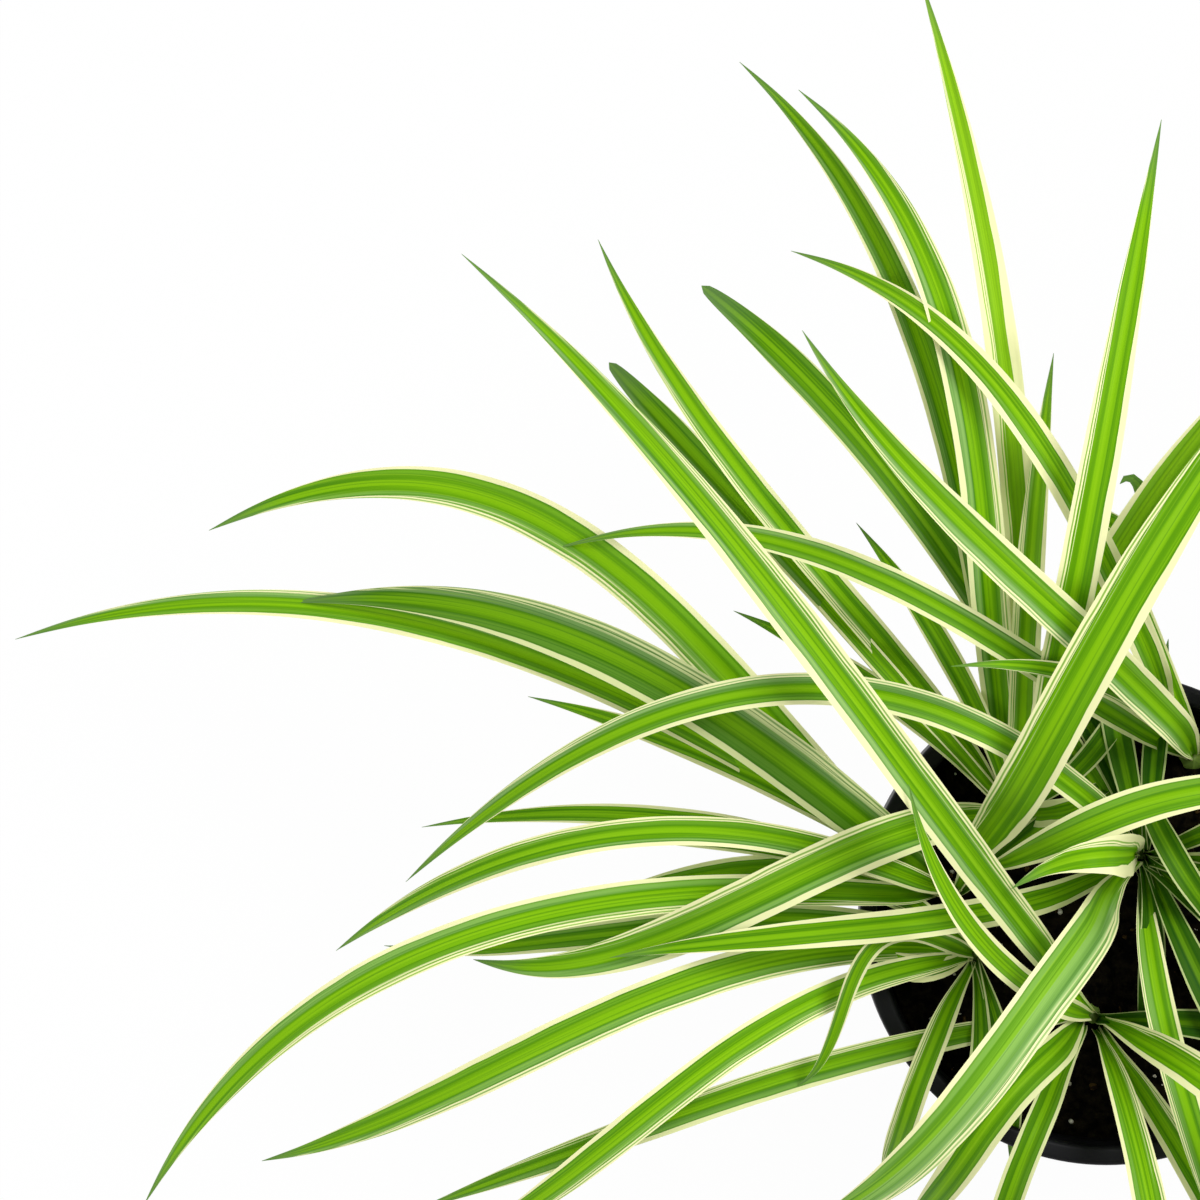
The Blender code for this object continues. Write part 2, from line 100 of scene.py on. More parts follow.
# For each leaf: share of the half width that is cream on each side, how much painted sheen greys
# its flanks (most on its left where positive, on its right where negative, and past 1.8 in the
# middle too), how much painted shade darkens it (painted light lightens it where negative), and
# the side of its pinstripes (1 right, -1 left, 0 none).
LOOKS = {
    "leaf_left_1": (0.27, 0.00, 0.15, -1),
    "leaf_left_2": (0.26, 0.20, 0.15, 0),
    "leaf_left_3": (0.22, -1.20, 0.60, 1),
    "leaf_left_4": (0.24, 0.40, 0.00, -1),
    "leaf_left_5": (0.26, 0.70, 0.05, 1),
    "leaf_left_6": (0.22, -0.60, 0.00, -1),
    "leaf_left_7": (0.24, -0.80, 0.05, 1),
    "leaf_front_1": (0.34, 0.10, 0.05, 0),
    "leaf_front_2": (0.30, 1.70, 0.05, 1),
    "leaf_front_3": (0.34, 0.00, 0.00, -1),
    "leaf_front_4": (0.28, 0.10, 0.30, 0),
    "leaf_front_5": (0.24, 0.10, 0.50, 0),
    "leaf_front_8": (0.26, 0.50, 0.35, 1),
    "leaf_front_left_2": (0.26, 0.35, 0.00, -1),
    "leaf_front_left_4": (0.26, 0.55, 0.10, -1),
    "leaf_middle_1": (0.22, 2.30, 0.00, -1),
    "leaf_middle_2": (0.55, 0.00, 0.00, 1),
    "leaf_middle_3": (0.34, 0.00, 0.15, 0),
    "leaf_middle_4": (0.26, -1.00, 0.15, 1),
    "leaf_middle_7": (0.16, 0.60, 0.45, 0),
    "leaf_back_left_1": (0.34, 0.00, 0.00, -1),
    "leaf_back_left_2": (0.30, 0.90, 0.05, 1),
    "leaf_back_left_3": (0.50, 0.10, -0.55, -1),
    "leaf_back_left_4": (0.28, 0.65, 0.20, 1),
    "leaf_back_left_5": (0.34, 0.10, -0.35, 1),
    "leaf_back_left_6": (0.34, 0.60, -0.20, -1),
    "leaf_back_left_7": (0.50, 0.00, 0.00, 0),
    "leaf_back_left_8": (0.28, 0.45, 0.10, -1),
    "leaf_back_left_9": (0.22, 0.65, 0.25, 0),
    "leaf_back_left_10": (0.20, 0.65, 0.40, 0),
    "leaf_back_right_1": (0.26, 1.10, 0.05, -1),
    "leaf_back_right_2": (0.38, 0.15, 0.00, -1),
    "leaf_back_right_3": (0.28, -0.75, 0.20, 0),
    "leaf_back_right_4": (0.38, 0.30, 0.00, 0),
}
BLUNT_LEAVES = ("leaf_back_left_10", "leaf_middle_7")
WIDER = {                             # width against the CAD leaf's
    "leaf_left_4": 1.45,
    "leaf_left_3": 1.15,
    "leaf_left_1": 0.93,
    "leaf_back_left_1": 0.84,
    "leaf_middle_2": 1.15,
}
# Leaves that round off to a slim, lower foot: the shares of their length where the rounding
# starts and ends, and how much lower the foot runs.
ROUND_FOOT = {"leaf_middle_2": (0.0, 0.34, 12.0), "leaf_left_2": (0.36, 0.62, 34.0)}
SLIM = 0.22                           # the slim foot's width against the leaf's
WIDER_RAMP = 3                        # a leaf has its own width from 1/3 of its length on
DROP_RAMP = 8                         # a low foot is fully lowered from 1/8 of the length on
SMOOTHINGS = 3                        # passes that even out the height along a leaf
SMOOTHING = 0.25

INNER_POINTS = 15
INNER_START = 3.0                     # distance from the crown's axis
INNER_CREST = 0.45                    # share of the length where the crest is
INNER_GUTTER = 0.16
# painted sheen on the small inner leaves' flanks
INNER_SHEEN = 0.1

# Small inner leaves that the CAD model leaves out: crown, heading in degrees, reach, width,
# crest height, tip height, sideways bow, share of cream and painted shade.
INNER_LEAVES = [
    ("back_left", 75, 60, 7.0, 126, 112, 4, 0.20, 0.6),
    ("back_left", 52, 52, 6.0, 122, 108, -4, 0.18, 0.7),
    ("back_left", 131, 125, 5.0, 148, 112, 2, 0.24, 0.2),
    ("back_left", 119, 88, 6.0, 142, 120, -3, 0.24, 0.2),
    ("back_left", 144, 92, 6.5, 136, 112, -5, 0.24, 0.2),
    ("middle", 100, 66, 7.5, 122, 108, 3, 0.14, 0.9),
    ("middle", 118, 60, 7.0, 116, 104, -3, 0.14, 1.0),
    ("middle", 84, 58, 6.5, 119, 106, 2, 0.14, 1.0),
    ("middle", 312, 96, 9.5, 126, 92, 4, 0.12, 1.0),
    ("middle", 298, 84, 8.5, 119, 96, -3, 0.12, 1.0),
    ("middle", 325, 88, 8.5, 119, 97, 3, 0.12, 1.0),
    ("middle", 268, 50, 7.0, 112, 103, 2, 0.12, 1.0),
    ("middle", 338, 74, 8.0, 130, 104, 4, 0.14, 0.8),
    ("middle", 20, 74, 7.5, 132, 110, 4, 0.16, 0.6),
    ("front", 350, 70, 8.5, 114, 100, 4, 0.12, 1.0),
    ("front_left", 264, 66, 6.5, 116, 78, 3, 0.24, 0.7),
    ("front_left", 280, 58, 6.0, 114, 84, 2, 0.24, 0.8),
    ("front_left", 174, 30, 7.0, 116, 112, 4, 0.40, 0.0),
    ("left", 173, 142, 6.0, 126, 86, -12, 0.24, 0.3),
    ("left", 172, 108, 6.0, 120, 94, -7, 0.24, 0.4),
    ("left", 155, 124, 7.0, 134, 100, -7, 0.28, 0.1),
    ("left", 152, 100, 6.5, 128, 106, -5, 0.28, 0.2),
    ("left", 35, 58, 6.5, 120, 106, 3, 0.16, 0.9),
    ("right", 120, 62, 7.0, 124, 106, 4, 0.14, 0.8),
]

# The narrow leaf whose tip curls round: crown, heading, reach, radii of the curl and height.
CURLED_LEAF = ("back_right", 109, 70, (3.3, 6.9), 150)
CURL_TURN = (240, 490)                # degrees where the curl starts and ends
CURL_POINTS = 12
CURL_ARCH = 3.0                       # how much higher the curl's middle is than its ends
CURL_GUTTER = 0.12
# the curled leaf's cream share, painted sheen, painted shade and pinstripe side
CURL_LOOK = (0.26, 0.20, 0.20, 0)

# --- pot, soil and crowns, in millimetres -------------------------------------------------------
RIM_RADIUS = 65.0                     # the three radii give the pot's proportions
NECK_RADIUS = 61.5                    # where the wall meets the rim
BASE_RADIUS = 47.0
SKIRT = 11.0                          # depth of the turned-down rim
WALL = 1.6
FLOOR = 2.2
RIM_CURL = 1.4
POT_SIDES = 160
DRAIN_HOLES = 6
DRAIN_RADIUS = 4.5
DRAIN_CIRCLE = 33.0
DRAIN_TURN = 4.0                      # degrees
DRAIN_SIDES = 36
CRUMBS = 1500
CRUMB_SIZES = (1, 2.6)
CRUMB_RISE = 0.7                      # how much of a crumb stands above the soil
CRUMB_SINK = 0.5
CRUMB_DEPTH = 3.2                     # soil lower than this under the top stays smooth
MOUND = 2.5                           # how much higher the soil's middle is than its edge
SOIL_RINGS = 90
SOIL_SIDES = 220
GRIT_AREA = 0.97                      # share of the soil's radius that has grit on it
GRIT_SINK = 0.3
PERLITE = (170, (0.2, 0.8), 3)        # how many lumps, their smallest and largest radius, and seed
BARK_BITS = (150, (0.3, 1.2), 5)
CROWN_SHARE = 0.45                    # a crown's radius against the CAD crown's
CROWN_DROP = 9.0                      # how much lower it ends
CROWN_RINGS = 12
CROWN_SIDES = 64
FLUTES = 8                            # furrows between a crown's sheaths
FLUTE_DEPTH = 0.10

# --- leaf markings ------------------------------------------------------------------------------
SEED_SHIFT = 60.0                     # keeps the noise of one leaf away from another's
STREAK_LENGTHWISE = 0.006             # noise cells to a millimetre along the leaf
MARGIN_LENGTHWISE = 0.012
BROAD_STREAKS = 0.9                   # noise cells to a millimetre across the leaf
FINE_STREAKS = 2.0
PINSTRIPES = 2.2

# --- colours, linear ------------------------------------------------------------------------------
BRIGHT_GREEN = (0.230, 0.510, 0.003, 1)
FLANK_GREEN = (0.165, 0.420, 0.002, 1)
DARK_GREEN = (0.036, 0.185, 0.001, 1)
# painted shade for leaves deep among the others
PAINTED_SHADE_GREEN = (0.003, 0.050, 0.001, 1)
# painted sheen on the leaves' flanks
SHEEN_GREEN = (0.300, 0.520, 0.150, 1)
PALE_GREEN = (0.330, 0.620, 0.016, 1)
CREAM = (0.960, 0.945, 0.520, 1)
SHADED_CREAM = (0.300, 0.420, 0.120, 1)
TIP_GREEN = (0.140, 0.250, 0.080, 1)
POT_BLACK = (0.004, 0.004, 0.005, 1)
POT_GREY = (0.010, 0.010, 0.012, 1)
SOIL_DARK = (0.0008, 0.0007, 0.0006, 1)
SOIL_BROWN = (0.008, 0.006, 0.003, 1)
PERLITE_SHADED = (0.30, 0.28, 0.20, 1)
PERLITE_WHITE = (0.66, 0.64, 0.56, 1)
BARK_DARK = (0.010, 0.006, 0.003, 1)
BARK_BROWN = (0.060, 0.035, 0.010, 1)
SHEATH_GREEN = (0.07, 0.16, 0.01, 1)
SHEATH_PALE = (0.30, 0.42, 0.08, 1)
PAPER = (0.86, 0.86, 0.86, 1)

# --- stage, in metres ---------------------------------------------------------------------------
STAGE_SIZE = 12.0
STAGE_DROP = 0.0005
STAGE_WHITE = 0.97                    # share of plain white that a direct view of the floor gets
WORLD_LIGHT = 0.55                    # the surround's strength on the object, against 1 as seen
AIM = Vector((0, 0, 0.1))


# --- node graphs ----------------------------------------------------------------------------------
class Graph:
    """A material's node tree, with short calls for the nodes that this file uses."""

    def __init__(self, name):
        self.material = bpy.data.materials.new(name)
        self.material.use_nodes = True
        self.tree = self.material.node_tree
        self.shader = self.tree.nodes["Principled BSDF"]

    def feed(self, socket, value):
        if isinstance(value, bpy.types.NodeSocket):
            self.tree.links.new(value, socket)
        elif value is not None:
            socket.default_value = value

    def math(self, operation, first, second=None, third=None):
        node = self.tree.nodes.new("ShaderNodeMath")
        node.operation = operation
        for socket, value in zip(node.inputs, (first, second, third)):
            self.feed(socket, value)
        return node.outputs[0]

    def times(self, first, second):
        return self.math("MULTIPLY", first, second)

    def step(self, value, low, high):
        """0 below low, 1 above high, smooth between; turned round where low is above high."""
        node = self.tree.nodes.new("ShaderNodeMapRange")
        node.interpolation_type = "SMOOTHSTEP"
        self.feed(node.inputs["Value"], value)
        self.feed(node.inputs["From Min"], low)
        self.feed(node.inputs["From Max"], high)
        return node.outputs["Result"]

    def mix(self, share, first, second):
        node = self.tree.nodes.new("ShaderNodeMix")
        node.data_type = "RGBA"
        self.feed(node.inputs[0], share)
        self.feed(node.inputs[6], first)
        self.feed(node.inputs[7], second)
        return node.outputs[2]

    def split(self, attribute):
        """The three parts of a mesh attribute."""
        node = self.tree.nodes.new("ShaderNodeAttribute")
        node.attribute_name = attribute
        parts = self.tree.nodes.new("ShaderNodeSeparateXYZ")
        self.feed(parts.inputs[0], node.outputs["Vector"])
        return parts.outputs

    def join(self, x, y, z):
        node = self.tree.nodes.new("ShaderNodeCombineXYZ")
        for socket, value in zip(node.inputs, (x, y, z)):
            self.feed(socket, value)
        return node.outputs[0]

    def noise(self, vector, scale, detail):
        node = self.tree.nodes.new("ShaderNodeTexNoise")
        self.feed(node.inputs["Vector"], vector)
        node.inputs["Scale"].default_value = scale
        node.inputs["Detail"].default_value = detail
        return node.outputs["Fac"]

    def place(self):
        return self.tree.nodes.new("ShaderNodeTexCoord").outputs["Object"]

    def finish(self, colour, roughness, height=None, distance=0.0001, strength=0.5):
        self.feed(self.shader.inputs["Base Color"], colour)
        self.feed(self.shader.inputs["Roughness"], roughness)
        if height is not None:
            bump = self.tree.nodes.new("ShaderNodeBump")
            bump.inputs["Strength"].default_value = strength
            bump.inputs["Distance"].default_value = distance
            self.feed(bump.inputs["Height"], height)
            self.feed(self.shader.inputs["Normal"], bump.outputs[0])
        return self.material


def leaf_material():
    """Green with a bright band along the midrib, painted sheen that greys the flanks, dark stripes,
    cream margins and painted shade.

    Mix shares are clamped, so a painted shade below 0 only lightens, as painted light, and one above
    0 only darkens.
    """
    g = Graph("leaf_tissue")
    across, along, length = g.split("place")
    seed, share, sheen = g.split("look")
    # the size attribute also carries each leaf's painted shade
    width, painted_shade, stripe_side = g.split("size")
    side = g.math("SIGN", across)
    edge = g.math("SUBTRACT", 1.0, g.math("ABSOLUTE", across))
    offset = g.times(across, width)
    slow = g.times(length, STREAK_LENGTHWISE)
    shift = g.times(seed, SEED_SHIFT)

    # cream margins, uneven along the leaf; on one side they have a green line in them and
    # cream lines beyond them
    drawn_out = g.times(length, MARGIN_LENGTHWISE)
    wander = g.noise(g.join(drawn_out, g.times(side, 7.0), shift), 3.0, 2.0)
    taper = g.step(along, 1.0, 0.62)
    uneven = g.math("MULTIPLY_ADD", wander, 1.0, 0.50)
    margin = g.times(g.times(share, uneven), taper)
    cream = g.step(edge, g.math("ADD", margin, 0.018), g.math("SUBTRACT", margin, 0.008))
    beyond = g.math("SUBTRACT", edge, margin)
    striped = g.step(g.times(side, stripe_side), 0.2, 0.4)
    lines = g.noise(g.join(g.times(offset, PINSTRIPES), slow, shift), 1.0, 1.0)
    outside = g.times(g.step(beyond, 0.015, 0.045), g.step(beyond, 0.24, 0.10))
    pin = g.times(g.times(g.step(lines, 0.52, 0.58), outside), striped)
    within = g.times(g.step(beyond, -0.17, -0.13), g.step(beyond, -0.06, -0.09))
    thread = g.times(g.times(within, striped), 0.85)
    cream = g.math("MAXIMUM", cream, g.times(pin, 0.8))
    cream = g.times(cream, g.math("SUBTRACT", 1.0, thread))
    cream = g.times(cream, g.step(along, 0.99, 0.92))

    # the green part: 0 at the midrib, 1 where the cream starts
    streaks = g.noise(g.join(g.times(offset, BROAD_STREAKS), slow, shift), 1.0, 2.0)
    inner = g.math("DIVIDE", g.math("ABSOLUTE", across), g.math("SUBTRACT", 1.0, margin))
    inner = g.math("ADD", inner, g.math("MULTIPLY_ADD", streaks, 0.7, -0.35))
    band = g.step(inner, 0.42, 0.12)
    strip = g.times(g.step(inner, 0.30, 0.44), g.step(inner, 0.74, 0.56))
    flank = g.step(inner, 0.42, 0.62)
    blade = g.mix(band, FLANK_GREEN, BRIGHT_GREEN)

    # painted sheen: grey-green flanks, away from the base
    sheen_side = g.math("MULTIPLY_ADD", g.times(side, g.math("SIGN", sheen)), -0.40, 0.60)
    much = g.math("ABSOLUTE", sheen)
    sheen_reach = g.math("MAXIMUM", flank, g.step(much, 1.8, 3.2))
    painted_sheen = g.times(g.times(much, sheen_side), sheen_reach)
    painted_sheen = g.times(painted_sheen, g.step(along, 0.10, 0.40))
    blade = g.mix(painted_sheen, blade, SHEEN_GREEN)

    # dark strips beside the bright band, fine streaks and a dark line along the cream
    blade = g.mix(g.times(strip, 0.38), blade, DARK_GREEN)
    fine = g.noise(g.join(g.times(offset, FINE_STREAKS), slow, shift), 1.0, 3.0)
    blade = g.mix(g.times(g.step(fine, 0.56, 0.70), 0.42), blade, PALE_GREEN)
    blade = g.mix(g.times(g.step(fine, 0.47, 0.34), 0.50), blade, DARK_GREEN)
    rim = g.times(g.step(beyond, 0.00, 0.02), g.step(beyond, 0.12, 0.04))
    blade = g.mix(g.times(rim, 0.40), blade, DARK_GREEN)

    # painted shade over the leaf (painted light where it is negative), a dull tip, and the cream over
    # it all
    shaded = g.math("MULTIPLY_ADD", band, -0.25, 0.80)
    blade = g.mix(g.times(painted_shade, shaded), blade, PAINTED_SHADE_GREEN)
    blade = g.mix(g.times(painted_shade, -0.8), blade, PALE_GREEN)
    blade = g.mix(g.times(g.step(along, 0.88, 1.0), 0.7), blade, TIP_GREEN)
    pale = g.mix(g.times(painted_shade, 0.75), CREAM, SHADED_CREAM)
    colour = g.mix(cream, blade, pale)
    rough = g.math("MULTIPLY_ADD", fine, 0.16, 0.42)
    g.shader.inputs["Specular IOR Level"].default_value = 0.07
    return g.finish(colour, rough, fine, 0.00012, 0.5)


def crown_material():
    """Mottled pale and green leaf sheaths."""
    g = Graph("crown_tissue")
    spots = g.noise(g.place(), 160.0, 3.0)
    colour = g.mix(spots, SHEATH_GREEN, SHEATH_PALE)
    return g.finish(colour, g.math("MULTIPLY_ADD", spots, 0.2, 0.4), spots, 0.0003)


def pot_material():
    """Satin black moulded plastic, faintly mottled."""
    g = Graph("pot_plastic")
    mottle = g.noise(g.place(), 60.0, 4.0)
    grain = g.noise(g.place(), 1400.0, 2.0)
    colour = g.mix(mottle, POT_BLACK, POT_GREY)
    rough = g.math("MULTIPLY_ADD", mottle, 0.22, 0.34)
    g.shader.inputs["Specular IOR Level"].default_value = 0.14
    return g.finish(colour, rough, grain, 0.00005, 0.35)


def grit_material(name, low, high, scale, roughness):
    """A grainy material for the soil and what lies on it."""
    g = Graph(name)
    grain = g.noise(g.place(), scale, 5.0)
    colour = g.mix(g.step(grain, 0.38, 0.66), low, high)
    g.shader.inputs["Specular IOR Level"].default_value = 0.04
    return g.finish(colour, g.math("MULTIPLY_ADD", grain, 0.1, roughness), grain, 0.0006, 0.9)


# --- meshes ---------------------------------------------------------------------------------------
def add_piece(name, vertices, faces, material, replaced=None):
    """A smooth mesh that rides on the plant and may stand for a CAD node."""
    mesh = bpy.data.meshes.new(name)
    mesh.from_pydata([tuple(v) for v in vertices], [], faces)
    mesh.shade_smooth()
    mesh.set_sharp_from_angle(angle=SMOOTH_ANGLE)
    mesh.materials.append(material)
    piece = bpy.data.objects.new(name, mesh)
    bpy.context.collection.objects.link(piece)
    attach(piece, "root")
    if replaced:
        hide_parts(replaced)
    return piece


def turned(profile, sides, bumpy=None):
    """Turn a profile of (radius, height) points; bumpy may move each point of the skin."""
    vertices, rings, faces = [], [], []
    for radius, height in profile:
        ring = []
        for side in range(1 if radius == 0 else sides):
            angle = 2 * math.pi * side / sides
            point = Vector((radius * math.cos(angle), radius * math.sin(angle), height))
            ring.append(len(vertices))
            vertices.append(bumpy(point, angle) if bumpy else point)
        rings.append(ring)
    for lower, upper in zip(rings, rings[1:]):
        for side in range(sides):
            after = (side + 1) % sides
            corners = [lower[side % len(lower)], lower[after % len(lower)]]
            corners += [upper[after % len(upper)], upper[side % len(upper)]]
            faces.append(list(dict.fromkeys(corners)))
    return vertices, faces


def spline(knots, values, places):
    """Natural cubic spline through values at knots, read at places."""
    last = len(knots) - 1
    gaps = np.diff(knots)
    matrix = np.eye(last + 1)
    right = np.zeros_like(values)
    for i in range(1, last):
        matrix[i, i - 1:i + 2] = gaps[i - 1], 2 * (gaps[i - 1] + gaps[i]), gaps[i]
        after = (values[i + 1] - values[i]) / gaps[i]
        before = (values[i] - values[i - 1]) / gaps[i - 1]
        right[i] = 6 * (after - before)
    bend = np.linalg.solve(matrix, right)
    span = np.clip(np.searchsorted(knots, places) - 1, 0, last - 1)
    gap = gaps[span][:, None]
    past = (places - knots[span])[:, None]
    left = gap - past
    curve = (bend[span] * left ** 3 + bend[span + 1] * past ** 3) / (6 * gap)
    curve += (values[span] / gap - bend[span] * gap / 6) * left
    return curve + (values[span + 1] / gap - bend[span + 1] * gap / 6) * past


def ribbon_lines(node):
    """A CAD leaf's left margin, midrib and right margin, from its base to its tip."""
    bm = bmesh.new()
    bm.from_mesh(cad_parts[node].data)
    bmesh.ops.remove_doubles(bm, verts=bm.verts, dist=WELD)
    bm.normal_update()
    bm.verts.ensure_lookup_table()
    near = {}
    for edge in bm.edges:
        if len(edge.link_faces) == 2 and edge.calc_face_angle() > SHARP_MARGIN:
            first, second = edge.verts
            near.setdefault(first.index, []).append(second.index)
            near.setdefault(second.index, []).append(first.index)
    path = [next(vertex for vertex, links in near.items() if len(links) == 1)]
    while True:
        onward = [vertex for vertex in near[path[-1]] if vertex not in path[-2:]]
        if not onward:
            break
        path.append(onward[0])
    points = {vertex.index: np.array(vertex.co) for vertex in bm.verts}
    bm.free()
    half = len(path) // 2
    tip = points[path[half]]
    one = np.array([points[v] for v in path[:half]])
    other = np.array([points[v] for v in path[:half:-1]])
    inner = np.array([point for v, point in points.items() if v not in path])
    middles = 0.5 * (one + other)
    apart = np.linalg.norm(inner[None] - middles[:, None], axis=2)
    midrib = inner[apart.argmin(axis=1)]
    forward = midrib[1] - midrib[0]
    if np.dot(np.cross(forward, middles[0] - midrib[0]), other[0] - one[0]) < 0:
        one, other = other, one
    return one, midrib, other, tip


def crown_axis(crown):
    """Plan place of a crown's axis."""
    low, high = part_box(f"crown_{crown}")
    return np.array((low + high) / 2)[:2]


def with_foot(centres, widths, sides, axis):
    """Add the foot that runs from the leaf's base down into its crown."""
    out = centres[0][:2] - axis
    deep = np.append(axis + FOOT_OUT * out, FOOT_HEIGHT * MM)
    collar = np.append(axis + COLLAR_OUT * out, 0.5 * (FOOT_HEIGHT * MM + centres[0][2]))
    centres = np.vstack([deep, collar, centres])
    widths = np.concatenate([[FOOT_WIDTH * widths[0], widths[0]], widths])
    return centres, widths, np.vstack([sides[:1], sides[:1], sides])


def fine_frames(centres, widths, sides, tip_power):
    """Fine cross-sections: midrib, sideways, upward, width, distance along and fold."""
    knots = np.concatenate([[0.0], np.cumsum(np.linalg.norm(np.diff(centres, axis=0), axis=1))])
    count = max(FEWEST_RINGS, int(knots[-1] / (RING_STEP * MM)))
    places = np.linspace(0, knots[-1], count)
    fine = spline(knots, centres, places)
    width = spline(knots[:-1], widths[:-1, None], np.minimum(places, knots[-2]))[:, 0]
    last = np.clip((places - knots[-2]) / (knots[-1] - knots[-2]), 0, 1)
    width *= (1 - last) ** tip_power
    share = np.clip((places - knots[2]) / (knots[-1] - knots[2]), 0, 1)
    width *= 1 + FULLER * np.sin(math.pi * np.clip(2 * share - 1, 0, 1))
    width = np.maximum(width, LEAST_WIDTH * MM)
    past_base = np.maximum(places - knots[2], 0)
    fold = 1 + FOLD * np.exp(-(past_base / (FOLD_LENGTH * MM)) ** 2)
    side = spline(knots, sides, places)
    forward = np.gradient(fine, places, axis=0)
    forward /= np.linalg.norm(forward, axis=1)[:, None]
    side -= forward * (side * forward).sum(axis=1)[:, None]
    side /= np.linalg.norm(side, axis=1)[:, None]
    return fine, side, np.cross(side, forward), width, places, fold


def blade(name, frames, gutter, look, material, replaced=None):
    """A leaf with a rounded channel, fine ribs and slightly wavy, thin margins."""
    rng = random.Random(name)
    fine, side, up, width, places, fold = frames
    across = np.sin(np.linspace(-0.5, 0.5, ACROSS) * math.pi)
    lower_across = across[-2:0:-1]
    phase = rng.uniform(0, 2 * math.pi)
    share = places / places[-1]
    vertices, place = [], []
    for i, centre in enumerate(fine):
        depth = gutter * fold[i]
        chord = width[i] * math.sqrt((1 + 4 * gutter ** 2) / (1 + 4 * depth ** 2))
        for row, under in ((across, False), (lower_across, True)):
            for a in row:
                rise = depth * chord * (math.hypot(a, KEEL) - KEEL)
                wave = math.sin(2 * math.pi * places[i] / (WAVE_LENGTH * MM) + phase + a)
                fade = min(1.0, width[i] / (WAVY_WIDTH * MM)) * math.sin(math.pi * share[i])
                rise += WAVE_HEIGHT * MM * wave * abs(a) ** 3 * fade
                rise += RIB_HEIGHT * MM * math.cos(RIBS * math.pi * a) * fade
                if under:
                    thick = EDGE_THICKNESS + (MID_THICKNESS - EDGE_THICKNESS) * (1 - a * a)
                    rise -= thick * MM * min(1.0, width[i] / (STOUT_WIDTH * MM))
                vertices.append(centre + side[i] * (a * chord / 2) + up[i] * rise)
                place.append((a, share[i], places[i] / MM))
    ring = len(across) + len(lower_across)
    faces = []
    for start in range(0, len(vertices) - ring, ring):
        for corner in range(ring):
            after = (corner + 1) % ring
            beyond = start + ring
            faces.append((start + corner, beyond + corner, beyond + after, start + after))
    faces.append(tuple(range(ring)))
    faces.append(tuple(reversed(range(len(vertices) - ring, len(vertices)))))
    piece = add_piece(name, vertices, faces, material, replaced)
    margin, sheen, painted_shade, stripe_side = look
    half_widths = np.repeat(width / 2 / MM, ring)
    full = np.ones_like(half_widths)
    looks = [rng.random() * full, margin * full, sheen * full]
    sizes = [half_widths, painted_shade * full, stripe_side * full]
    write_vectors(piece.data, "place", np.array(place))
    write_vectors(piece.data, "look", np.stack(looks, axis=1))
    write_vectors(piece.data, "size", np.stack(sizes, axis=1))


def plain_look(name):
    """The look of a leaf that has none of its own."""
    rng = random.Random(f"{name}_look")
    # a random cream share, painted sheen and painted shade
    margin, sheen, painted_shade = rng.uniform(0.22, 0.34), rng.uniform(-0.7, 0.7), rng.uniform(0.0, 0.3)
    return margin, sheen, painted_shade, rng.choice((-1, 0, 1))


def add_leaf(node, material):
    """The detailed leaf that stands for a CAD leaf."""
    left, midrib, right, tip = ribbon_lines(node)
    chords = right - left
    widths = np.linalg.norm(chords, axis=1)
    depths = np.linalg.norm(0.5 * (left + right) - midrib, axis=1)
    gutter = DEEPER * depths.sum() / widths.sum()
    sides = chords / widths[:, None]
    centres = np.vstack([midrib, tip])
    for _ in range(SMOOTHINGS):
        bend = centres[1:-2, 2] - 2 * centres[2:-1, 2] + centres[3:, 2]
        centres[2:-1, 2] += SMOOTHING * bend
    shares = np.linspace(0, 1, len(widths))
    broad = widths * (1 + (WIDER.get(node, 1.0) - 1) * np.clip(WIDER_RAMP * shares, 0, 1))
    if node in ROUND_FOOT:
        start, end, drop = ROUND_FOOT[node]
        ramp = np.sin(0.5 * math.pi * np.clip((shares - start) / (end - start), 0, 1))
        broad *= SLIM + (1 - SLIM) * ramp
        centres[:-1, 2] -= drop * MM * (1 - ramp) * np.clip(DROP_RAMP * shares, 0, 1)
    axis = crown_axis(node[len("leaf_"):].rsplit("_", 1)[0])
    footed = with_foot(centres, np.append(broad, 0.0), np.vstack([sides, sides[-1:]]), axis)
    frames = fine_frames(*footed, BLUNT if node in BLUNT_LEAVES else POINTED)
    blade(f"{node}_blade", frames, gutter, LOOKS.get(node) or plain_look(node), material, node)


def add_inner_leaf(number, values, material):
    """A small leaf inside the plant, laid out from its heading, reach and heights."""
    crown, heading, reach, width, crest, tip_height, bow, cream, painted_shade = values
    axis = crown_axis(crown)
    share = np.linspace(0.0, 1.0, INNER_POINTS)
    angle = math.radians(heading)
    forward = np.array((math.cos(angle), math.sin(angle)))
    leftward = np.array((-forward[1], forward[0]))
    run = INNER_START + (reach - INNER_START) * share
    sideways = 4 * share * (1 - share) * bow
    plan = axis + MM * (run[:, None] * forward + sideways[:, None] * leftward)
    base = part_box(f"crown_{crown}")[1].z / MM - CROWN_CLEARANCE
    rise = crest - (crest - base) * np.clip(1 - share / INNER_CREST, 0, 1) ** 2.5
    past_crest = np.clip((share - INNER_CREST) / (1 - INNER_CREST), 0, 1)
    fall = crest - (crest - tip_height) * past_crest ** 2
    heights = np.where(share < INNER_CREST, rise, fall)
    centres = np.column_stack([plan, MM * heights])
    opening = 0.5 + 0.5 * np.clip(share / 0.4, 0, 1)
    closing = 1 - np.clip((share - 0.5) / 0.5, 0, 1) ** 1.6
    widths = MM * width * opening * closing
    tangents = np.gradient(centres, axis=0)
    sides = np.cross(tangents, (0, 0, 1))
    sides /= np.linalg.norm(sides, axis=1)[:, None]
    frames = fine_frames(*with_foot(centres, widths, sides, axis), POINTED)
    look = (cream, INNER_SHEEN, painted_shade, 0)
    blade(f"inner_leaf_{number}", frames, INNER_GUTTER, look, material)


def write_vectors(mesh, name, values):
    """Write one vector for each point of the mesh."""
    attribute = mesh.attributes.new(name, "FLOAT_VECTOR", "POINT")
    attribute.data.foreach_set("vector", np.asarray(values, np.float32).ravel())


